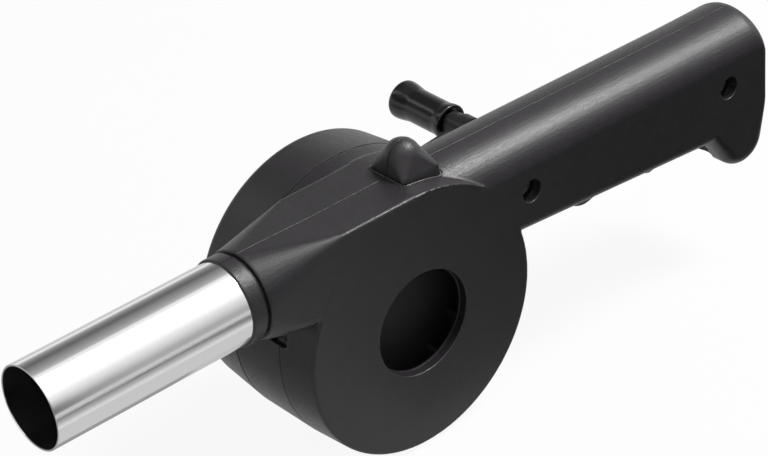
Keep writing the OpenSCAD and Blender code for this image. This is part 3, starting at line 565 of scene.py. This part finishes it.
near_edge, far_edge = SEAM_Y - SEAM_GAP / 2, SEAM_Y + SEAM_GAP / 2
carve(near, *hollows(WALL))
carve(near, carve(collar(), block("near_side", (-200, -5, -60), (200, near_edge, 70)), how="INTERSECT"), how="UNION")
for at in SCREWS_AT:
    carve(near, rod("post", WELL_R + WALL, POST_START, near_edge, at), how="UNION")
    carve(near, well(at, 0.0, WELL_DEPTH, WELL_R), rod("hole", SCREW_WAY_R, WELL_FLOOR, SEAM_Y + 1, at))
for angle in BODY_SCREW_DIRS:
    at = around(angle, BODY_SCREW_AT)
    carve(near, rod("post", POST_R, POST_START, near_edge, at), how="UNION")
    carve(near, rod("hole", SCREW_HOLE_R, POST_PILOT_Y, SEAM_Y + 1, at))
carve(near, rod("rim", INLET_R + WALL, POST_START, RIM_DEPTH), how="UNION")
mouth_r = INLET_R + RIM_STEP
mouth = [(mouth_r + MOUTH_EASE, -3.0)]
mouth += [(r, y) for y, r in bend((MOUTH_EASE, mouth_r + MOUTH_EASE), MOUTH_EASE, 180, 270, 4)]
mouth += [(mouth_r, RIM_STEP_Y), (INLET_R + STEP_EASE, RIM_STEP_Y), (INLET_R, RIM_STEP_Y + STEP_EASE)]
mouth += [(INLET_R, RIM_DEPTH + 2)]
carve(near, turned("mouth", mouth, steps=160))
sharp(near)
dress(near, "housing", housing_plastic)
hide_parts("intake_shell")

# Far half with the wall behind the fan
# The other moulding carries the gears behind a wall across the drum, with bosses for the fan's bush and the
# idler's axle. Its open back takes the rear cover, and its screw posts take the cover's screws.
WHEEL_CHAMBER_Y, IDLER_AT = 28.4, (-8.4524, 18.1262)
COVER_SCREW_DIRS, COVER_SCREW_AT, COVER_POST_R, BOSS_R = (15, 165, 270), 33.5, 4.6, 5.2

carve(far, *hollows(SEAM_Y - 1))
carve(far, rod("gear_room", CAVITY_R, WHEEL_CHAMBER_Y, COVER_Y + 2, steps=160))
carve(far, carve(collar(), block("far_side", (-200, far_edge, -60), (200, 40, 70)), how="INTERSECT"), how="UNION")
for at in SCREWS_AT:
    carve(far, rod("post", WELL_R + WALL, far_edge, BAR_W - 1.1, at), how="UNION")
    carve(far, rod("hole", SCREW_HOLE_R, SEAM_Y - 1, 23.0, at))
for angle in BODY_SCREW_DIRS:
    at = around(angle, BODY_SCREW_AT)
    carve(far, rod("post", POST_R, far_edge, CHAMBER_Y + 1, at), how="UNION")
    carve(far, rod("hole", SCREW_WAY_R, SEAM_Y - 1, WHEEL_CHAMBER_Y + 1, at))
for angle in COVER_SCREW_DIRS:
    at = around(angle, COVER_SCREW_AT)
    carve(far, rod("post", COVER_POST_R, 27.5, COVER_Y, at), how="UNION")
    carve(far, rod("hole", SCREW_HOLE_R, WHEEL_CHAMBER_Y, COVER_Y + 1, at))
carve(far, rod("boss", BOSS_R, 25.7, 29.1), rod("boss", BOSS_R, CHAMBER_Y, 30.58, IDLER_AT), how="UNION")
carve(far, rod("bush_hole", 3.42, 24.7, 30.1), rod("axle_hole", 1.52, 26.95, 32.0, IDLER_AT))
sharp(far)
dress(far, "housing", housing_plastic)
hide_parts("gear_shell")

# Nozzle
# A thin stainless tube of 25 mm, cut square, drawn in at the end that the collar holds, and polished along its
# length.
TUBE_R, TUBE_WALL, MOUTH_X, TUBE_LIP = 12.5, 0.6, -123.0, 0.2

step_x, inner_r = DUCT_FRONT_X - COLLAR_LEN, TUBE_R - TUBE_WALL
tube = along_x("steel_tube", [
    (TUBE_R - TUBE_LIP, MOUTH_X), (TUBE_R - 0.06, MOUTH_X + 0.06), (TUBE_R, MOUTH_X + TUBE_LIP),
    (TUBE_R, step_x), (HELD_R, step_x), (HELD_R, TUBE_END_X), (HELD_R - TUBE_WALL, TUBE_END_X),
    (HELD_R - TUBE_WALL, step_x - TUBE_WALL), (inner_r, step_x - TUBE_WALL),
    (inner_r, MOUTH_X + TUBE_LIP), (inner_r + 0.06, MOUTH_X + 0.06), (inner_r + TUBE_LIP, MOUTH_X)], 192)


def metal(name, shade, rough, line_size, line_depth, draw_out):
    """A worked metal surface: fine lines, drawn out along X by a factor, and a roughness that changes in patches."""
    made = material(name)
    tree = made.node_tree
    place = node(tree, "TexCoord").outputs["Object"]
    drawn = node(tree, "Mapping", {"Vector": place, "Scale": (1 / draw_out, 1.0, 1.0)})
    lines = node(tree, "TexNoise", {"Vector": drawn.outputs[0]}, Scale=1 / (line_size * MM), Detail=4.0)
    haze = node(tree, "TexNoise", {"Vector": place}, Scale=1 / (12 * MM), Detail=3.0)
    gloss = node(tree, "MapRange", {"Value": haze.outputs[0], "From Min": 0.3, "From Max": 0.7,
                                    "To Min": rough * 0.8, "To Max": rough * 1.25})
    bump = node(tree, "Bump", {"Height": lines.outputs[0]}, Strength=1.0, Distance=line_depth * MM)
    skin = node(tree, "BsdfPrincipled", {"Roughness": gloss.outputs[0], "Normal": bump.outputs[0]}, Metallic=1.0)
    skin.inputs["Base Color"].default_value = linear(shade)
    node(tree, "OutputMaterial", {"Surface": skin.outputs[0]})
    return made


# Stainless steel polished along the tube: a mirror whose reflections are drawn out into faint lines. Its
# polishing lines are finer than 0.1 mm, and are drawn at 0.5 mm so that they show.
tube_steel = metal("stainless steel, polished along its length", "#e6e6e6", 0.12, 0.5, 0.002, 50)
sharp(tube)
dress(tube, "housing", tube_steel)
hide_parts("nozzle_tube")

# Housing screws
# Cross-head tapping screws in plated steel: two long ones deep in the handle's wells, three from the gear room
# into the near half, and three that hold the rear cover.
# Bright zinc plate: pale blue-grey and satin, with the soft haze of a barrel-plated part.
zinc = metal("bright zinc plate", "#b9bcc0", 0.28, 0.3, 0.004, 1)
finish_nodes(zinc, "handle_screws", "body_screws", "cover_screws")

# Fan
# A moulded wheel pushed on to its steel shaft, which turns in a bronze bush between two washers. Its disc is
# what shows behind the air inlet.
# Polypropylene from a polished tool, with a soft even sheen. The wheel is black; its grey is painted paler than the
# housing's, as painted light that lifts the disc in the shade inside the drum.
fan_plastic_painted_paler = moulded("black polypropylene painted paler for the drum's shade", "#3f3c3f", 0.3, 0.5, 0.01)
# Sintered bronze: dull gold with open pores about 0.2 mm across.
bronze = metal("sintered bronze", "#a67c4a", 0.5, 0.2, 0.02, 1)
finish_nodes(fan_plastic_painted_paler, "impeller")
finish_nodes(bronze, "fan_bush")
finish_nodes(zinc, "fan_shaft", "fan_washers")

# Gear train
# Two moulded steps of gears behind the wall: the crank's wheel drives the idler's pinion, and the idler's wheel
# drives the pinion on the fan's shaft. The idler turns on a plain steel axle between two washers.
# Natural acetal: off-white and waxy, with a faint satin grain.
acetal = moulded("natural acetal", "#e4e0d2", 0.5, 0.42, 0.006)
finish_nodes(acetal, "fan_pinion", "idler_gear", "crank_gear")
finish_nodes(zinc, "idler_axle", "idler_washers")

# Rear cover
# A deep dish over the gear train with an eased rim, three wells for its screws and a raised ring round the
# crank's bronze bush. It is moulded in the same plastic as the halves.
REAR_Y, COVER_EDGE, COVER_R, COVER_GAP, COVER_WELL_R = 52.1, 2.5, 40.5, 0.04, 3.3
RING_R, RING_H, BUSH_R, BUSH_ROOM_R, BUSH_ROOM_Y = 11.0, 0.9, 5.02, 7.6, 44.6

base_y = COVER_Y + COVER_GAP
outer = [(CAVITY_R, base_y), (DRUM_R - 0.06, base_y), (DRUM_R, base_y + 0.06)]
outer += bend((COVER_R - COVER_EDGE, REAR_Y - COVER_EDGE), COVER_EDGE, 5, 90, 10)
outer += [(RING_R + 0.3, REAR_Y), (RING_R, REAR_Y + 0.3)] + bend((RING_R - 0.3, REAR_Y + RING_H - 0.3), 0.3, 0, 90, 3)
outer += [(BUSH_R, REAR_Y + RING_H), (BUSH_R, BUSH_ROOM_Y), (BUSH_ROOM_R, BUSH_ROOM_Y), (BUSH_ROOM_R, REAR_Y - WALL)]
inner = bend((COVER_R - WALL - COVER_EDGE, REAR_Y - WALL - COVER_EDGE), COVER_EDGE, 90, 0, 8)
cover = turned("rear_dish", outer + inner, steps=200, closed=True)
tongue = [(CAVITY_R - 0.1, 32.2), (CAVITY_R - 0.1, 35.4), (CAVITY_R - 1.3, 35.4), (CAVITY_R - 1.3, 32.2)]
carve(cover, turned("tongue", tongue, closed=True), how="UNION")
for angle in COVER_SCREW_DIRS:
    at = around(angle, COVER_SCREW_AT)
    carve(cover, rod("way", COVER_POST_R + 0.1, 31.0, COVER_Y, at))
    carve(cover, rod("post", COVER_POST_R, base_y, REAR_Y - 1.1, at), how="UNION")
    carve(cover, well(at, REAR_Y, -14.3, COVER_WELL_R), rod("hole", SCREW_WAY_R, 32.0, 39.0, at))
carve(cover, rod("axle_boss", BOSS_R, 46.85, REAR_Y - 1.1, IDLER_AT), how="UNION")
carve(cover, rod("axle_hole", 1.52, 45.0, 48.9, IDLER_AT))
sharp(cover)
dress(cover, "housing", housing_plastic)
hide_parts("rear_cover")
finish_nodes(bronze, "crank_bush")

# Crank
# A steel shaft, held by a clip and flattened for the arm. The arm is one moulding with its hub, a sunk panel
# and the neck for the knob, and a screw with a washer holds it on.
CRANK_DIR, THROW, ROOT_R, TIP_W, END_R, ARM_RIM, PANEL = 8.2, 70.3, 6.6, 2.8, 4.9, 1.2, 1.0
HUB_R, HUB_Y, HUB_END_Y, ARM_Y, ARM_END_Y, NECK_R, NECK_END_Y = 8.0, 53.3, 59.9, 54.0, 58.0, 4.2, 62.6
BORE_R, BORE_FLAT, BORE_END_Y, ARM_EASE = 3.02, 2.27, 59.4, 0.45


def on_arm(along, across):
    """A place in X and Z from one along the arm and one across it."""
    c, s = math.cos(math.radians(CRANK_DIR)), math.sin(math.radians(CRANK_DIR))
    return (along * c - across * s, along * s + across * c)


def arm_plate(name, inset, start, end, low, high):
    """The tapered web of the arm between two distances and two heights, narrowed by an inset."""
    half_w = [ROOT_R + (TIP_W - ROOT_R) * x / THROW - inset for x in (start, end)]
    outline = [on_arm(start, -half_w[0]), on_arm(end, -half_w[1]), on_arm(end, half_w[1]), on_arm(start, half_w[0])]
    return loft(name, [[(x, y, z) for x, z in outline] for y in (low, high)])


neck_at = on_arm(THROW, 0)
arm = rod("arm", HUB_R, HUB_Y, HUB_END_Y, steps=96)
carve(arm, arm_plate("web", 0, 0, THROW, ARM_Y, ARM_END_Y), rod("end", END_R, ARM_Y, ARM_END_Y, neck_at), how="UNION")
panel_start, panel_end = HUB_R + ARM_RIM, THROW - END_R - ARM_RIM
carve(arm, arm_plate("panel", ARM_RIM, panel_start, panel_end, ARM_END_Y - PANEL, ARM_END_Y + 1))
carve(arm, rod("neck", NECK_R, ARM_END_Y - 1, NECK_END_Y, neck_at), how="UNION")
corners = [on_arm(a, b) for a, b in ((-6, -6), (BORE_FLAT, -6), (BORE_FLAT, 6), (-6, 6))]
flat = loft("flat", [[(x, y, z) for x, z in corners] for y in (HUB_Y - 1, BORE_END_Y)])
carve(arm, carve(rod("bore", BORE_R, HUB_Y - 1, BORE_END_Y), flat, how="INTERSECT"))
carve(arm, rod("way", SCREW_WAY_R, HUB_Y - 1, HUB_END_Y + 1))
carve(arm, rod("hole", SCREW_HOLE_R, NECK_END_Y - 6, NECK_END_Y + 1, neck_at))
mod = arm.modifiers.new("eased", "BEVEL")
mod.width, mod.segments, mod.limit_method, mod.angle_limit = ARM_EASE * MM, 3, "ANGLE", math.radians(40)
settle(arm)
arm.name = "lever_arm"
sharp(arm)
# Glass-filled nylon: satin black with a very slight grain, a little shinier than the housing.
nylon = moulded("black glass-filled nylon", "#242224", 0.35, 0.34, 0.02)
dress(arm, "crank", nylon)
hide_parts("crank_arm")
finish_nodes(zinc, "crank_shaft", "shaft_clip", "crank_washer", "crank_screw")

# Knob
# The hand grip of the crank, a waisted moulding that turns on a shoulder screw in the arm's neck. It has a
# shallow recess round the neck, and a deep one in its end for the screw's head.
KNOB_Y, KNOB_END_Y, KNOB_RIM_R, WAIST_R, FLARE_R, KNOB_ROUND = 62.9, 85.9, 5.9, 5.5, 6.3, 1.4
PIN_WAY_R, HEAD_ROOM_R, HEAD_ROOM_Y, RECESS_R, RECESS = 2.06, 3.6, 83.4, 4.9, 1.3
RIM_EASE, RIM_WIDTH, WAIST_RUN, FLARE_START, WAIST_STEPS, FLARE_STEPS = 0.5, 0.9, 3.4, 0.6, 8, 10

profile = [(RECESS_R, KNOB_Y + RECESS), (RECESS_R, KNOB_Y + 0.2), (RECESS_R + 0.2, KNOB_Y)]
profile += bend((KNOB_RIM_R - RIM_EASE, KNOB_Y + RIM_EASE), RIM_EASE, -90, 0, 4)
profile += [(KNOB_RIM_R, KNOB_Y + RIM_WIDTH)]
waist_y, flare_y = KNOB_Y + RIM_WIDTH + WAIST_RUN, KNOB_END_Y - KNOB_ROUND
for k in range(1, WAIST_STEPS + 1):
    t = k / WAIST_STEPS
    swing = (1 - math.cos(math.pi * t)) / 2
    profile.append((KNOB_RIM_R + (WAIST_R - KNOB_RIM_R) * swing, waist_y - WAIST_RUN * (1 - t)))
for k in range(1, FLARE_STEPS + 1):
    t = k / FLARE_STEPS
    swing = (1 - math.cos(math.pi * t)) / 2
    along = FLARE_START + (1 - FLARE_START) * t
    profile.append((WAIST_R + (FLARE_R - WAIST_R) * swing, waist_y + (flare_y - waist_y) * along))
profile += bend((FLARE_R - KNOB_ROUND, flare_y), KNOB_ROUND, 0, 90, 8)[1:]
profile += [(HEAD_ROOM_R + 0.25, KNOB_END_Y), (HEAD_ROOM_R, KNOB_END_Y - 0.25), (HEAD_ROOM_R, HEAD_ROOM_Y),
            (PIN_WAY_R, HEAD_ROOM_Y), (PIN_WAY_R, KNOB_Y + RECESS)]
knob = turned("hand_knob", profile, neck_at, 96, closed=True)
sharp(knob)
# ABS from a polished tool: deep glossy black with crisp highlights, very lightly rubbed.
knob_plastic = moulded("glossy black ABS", "#141214", 0.5, 0.2, 0.012)
dress(knob, "knob", knob_plastic)
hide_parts("knob")
finish_nodes(zinc, "knob_pin")
